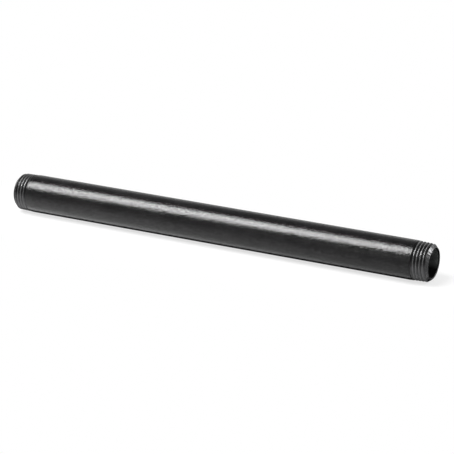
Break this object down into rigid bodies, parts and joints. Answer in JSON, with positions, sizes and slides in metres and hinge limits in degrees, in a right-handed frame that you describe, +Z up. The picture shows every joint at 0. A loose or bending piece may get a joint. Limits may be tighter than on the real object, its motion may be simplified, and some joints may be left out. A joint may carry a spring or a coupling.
{
  "type": "pipe nipple",
  "caption": "Long straight black steel pipe nipple, with a male taper thread, a chamfered end face and an open reamed bore at each end.",
  "frame": {"origin": "on the pipe's axis, midway between the two end faces", "axes": "+X along the pipe, from the left end to the right end as seen from the front; +Y away from the viewer; +Z up, with the pipe lying level"},
  "size_m": [0.254, 0.0214, 0.0214],
  "materials": {
    "oiled_steel": "dark oiled steel, turned at the ends",
    "black_lacquer": "satin black film with a fine grain"
  },
  "bodies": {
    "root": {"pipe": "oiled_steel", "black_coat": "black_lacquer"}
  },
  "joints": []
}
